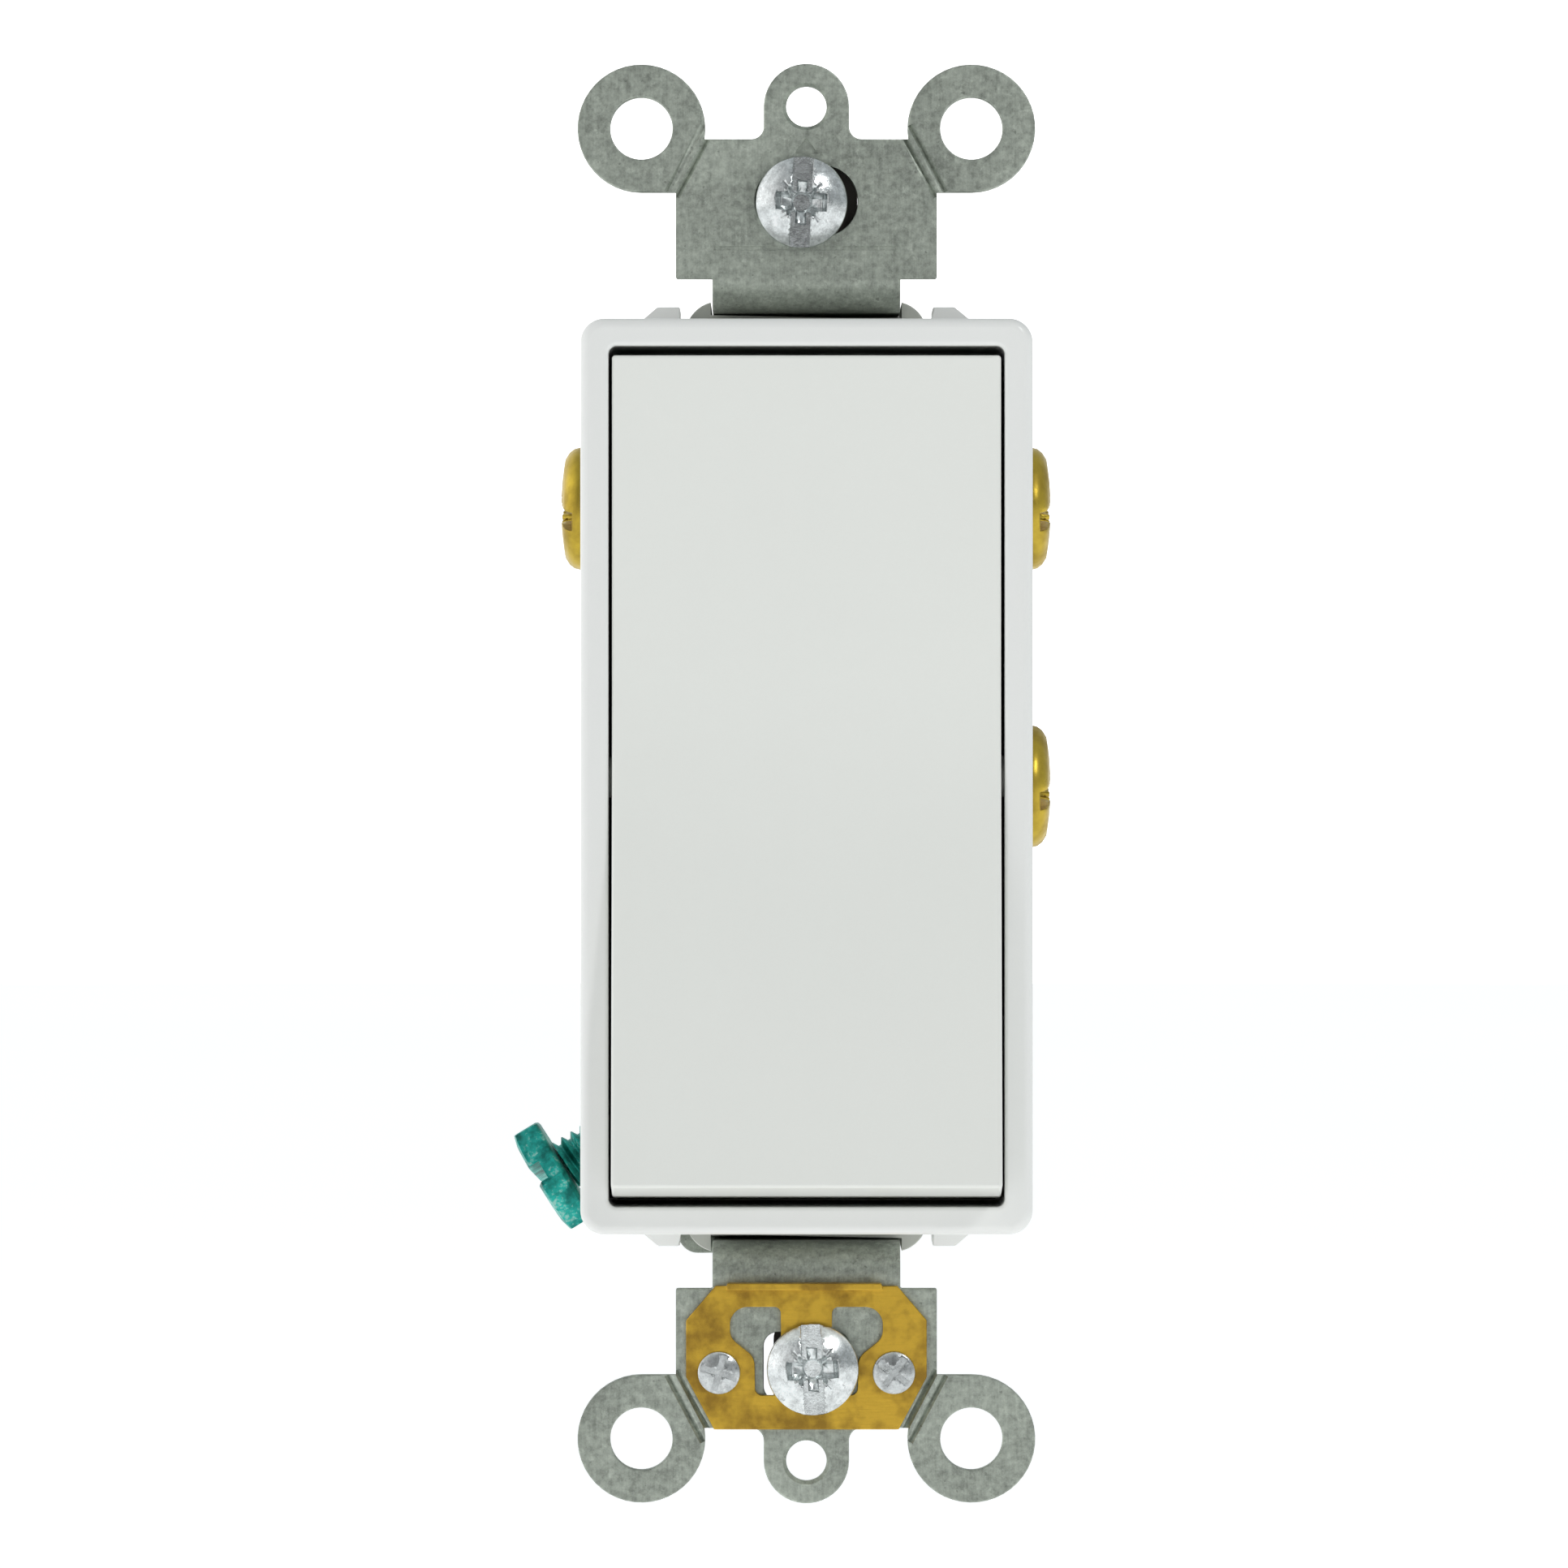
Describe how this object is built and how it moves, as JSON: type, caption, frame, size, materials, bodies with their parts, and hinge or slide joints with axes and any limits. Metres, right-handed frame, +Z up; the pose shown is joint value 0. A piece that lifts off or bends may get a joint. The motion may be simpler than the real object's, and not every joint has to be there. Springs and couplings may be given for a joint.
{
  "type": "wall switch",
  "caption": "Paddle-style wall switch on a steel mounting strap, with side wire terminals, a ground screw and a rocking contact mechanism inside.",
  "frame": {"origin": "middle of the mounting strap's back face, which lies on the wall, half way between the cover-plate screw holes", "axes": "+X to the right, +Y into the wall, +Z up along the strap"},
  "size_m": [0.0391, 0.0387, 0.103],
  "materials": {
    "zinc_plate": "bright zinc plating, handled and slightly mottled",
    "bezel_white": "gloss moulded thermoplastic",
    "paddle_white": "satin gloss moulded thermoplastic",
    "housing_white": "satin moulded thermoplastic",
    "cover_dark": "dark brown moulded phenolic",
    "pad_rubber": "soft moulded rubber",
    "plunger_plastic": "plain moulded acetal",
    "spring_steel": "bright drawn wire",
    "contact_copper": "stamped copper alloy",
    "contact_silver": "silver alloy contact face",
    "terminal_brass": "stamped brass",
    "clamp_steel": "zinc-plated steel",
    "screw_brass": "brass plating with light tarnish",
    "ground_green": "green-dyed zinc plating",
    "clip_brass": "stamped brass, lightly tarnished",
    "rivet_steel": "zinc-plated steel",
    "screw_zinc": "zinc-plated steel",
    "washer_fibre": "pressed fibre"
  },
  "bodies": {
    "root": {"mounting_strap": "zinc_plate", "front_bezel": "bezel_white", "rear_housing": "housing_white", "chamber_cover": "cover_dark", "bumper_pads": "pad_rubber", "common_terminal": "terminal_brass", "traveler_terminal_upper": "terminal_brass", "traveler_terminal_lower": "terminal_brass", "fixed_contacts": "contact_silver", "grounding_clip": "clip_brass", "clip_rivets": "rivet_steel", "upper_screw_retainer": "washer_fibre", "lower_screw_retainer": "washer_fibre", "back_rivets": "rivet_steel"},
    "paddle": {"rocker_paddle": "paddle_white", "plunger_spring": "spring_steel"},
    "plunger": {"spring_plunger": "plunger_plastic"},
    "contact_rocker": {"contact_arm": "contact_copper", "moving_contacts": "contact_silver"},
    "common_clamp": {"common_clamp_plate": "clamp_steel"},
    "common_terminal_screw": {"common_screw": "screw_brass"},
    "upper_traveler_clamp": {"upper_traveler_clamp_plate": "clamp_steel"},
    "upper_traveler_terminal_screw": {"upper_traveler_screw": "screw_brass"},
    "lower_traveler_clamp": {"lower_traveler_clamp_plate": "clamp_steel"},
    "lower_traveler_terminal_screw": {"lower_traveler_screw": "screw_brass"},
    "upper_device_screw": {"upper_mounting_screw": "screw_zinc"},
    "lower_device_screw": {"lower_mounting_screw": "screw_zinc"},
    "ground_terminal_screw": {"ground_screw": "ground_green"}
  },
  "joints": [
    {"name": "paddle_tilt", "type": "hinge", "parent": "root", "child": "paddle", "pos_m": [0, -0.0033, 0.0005], "axis": [1, 0, 0], "range_deg": [0, 8.5]},
    {"name": "plunger_slide", "type": "slide", "parent": "paddle", "child": "plunger", "axis": [0, 0.9973, -0.0741], "range_m": [-0.0012, 0], "stiffness_N_per_m": 400, "springref_m": 0.003},
    {"name": "contact_rocker_tilt", "type": "hinge", "parent": "root", "child": "contact_rocker", "pos_m": [0, 0.0098, 0.0005], "axis": [1, 0, 0], "range_deg": [-14.01, 0]},
    {"name": "common_clamp_slide", "type": "slide", "parent": "root", "child": "common_clamp", "axis": [-1, 0, 0], "range_m": [-0.00099, 0.00148]},
    {"name": "common_screw_turn", "type": "hinge", "parent": "common_clamp", "child": "common_terminal_screw", "pos_m": [-0.0151, 0.013, 0.02005], "axis": [-1, 0, 0], "range_deg": [-450, 675]},
    {"name": "upper_traveler_clamp_slide", "type": "slide", "parent": "root", "child": "upper_traveler_clamp", "axis": [1, 0, 0], "range_m": [-0.00099, 0.00148]},
    {"name": "upper_traveler_screw_turn", "type": "hinge", "parent": "upper_traveler_clamp", "child": "upper_traveler_terminal_screw", "pos_m": [0.0151, 0.013, 0.02005], "axis": [1, 0, 0], "range_deg": [-450, 675]},
    {"name": "lower_traveler_clamp_slide", "type": "slide", "parent": "root", "child": "lower_traveler_clamp", "axis": [1, 0, 0], "range_m": [-0.00099, 0.00148]},
    {"name": "lower_traveler_screw_turn", "type": "hinge", "parent": "lower_traveler_clamp", "child": "lower_traveler_terminal_screw", "pos_m": [0.0151, 0.013, -0.0002], "axis": [1, 0, 0], "range_deg": [-450, 675]},
    {"name": "upper_mounting_screw_turn", "type": "hinge", "parent": "root", "child": "upper_device_screw", "pos_m": [-0.00035, 0, 0.04152], "axis": [0, -1, 0], "continuous": true},
    {"name": "lower_mounting_screw_turn", "type": "hinge", "parent": "root", "child": "lower_device_screw", "pos_m": [0.00045, 0, -0.04182], "axis": [0, -1, 0], "continuous": true},
    {"name": "ground_screw_turn", "type": "hinge", "parent": "root", "child": "ground_terminal_screw", "pos_m": [-0.0137, 0.0125, -0.0257], "axis": [-0.8536, 0, -0.521], "range_deg": [-1800, 1530]}
  ],
  "couplings": [
    {"joint": "contact_rocker_tilt", "follows": "paddle_tilt", "ratio": -1.6471},
    {"joint": "common_screw_turn", "follows": "common_clamp_slide", "rad_per_m": 7915.8},
    {"joint": "upper_traveler_screw_turn", "follows": "upper_traveler_clamp_slide", "rad_per_m": 7915.8},
    {"joint": "lower_traveler_screw_turn", "follows": "lower_traveler_clamp_slide", "rad_per_m": 7915.8}
  ]
}
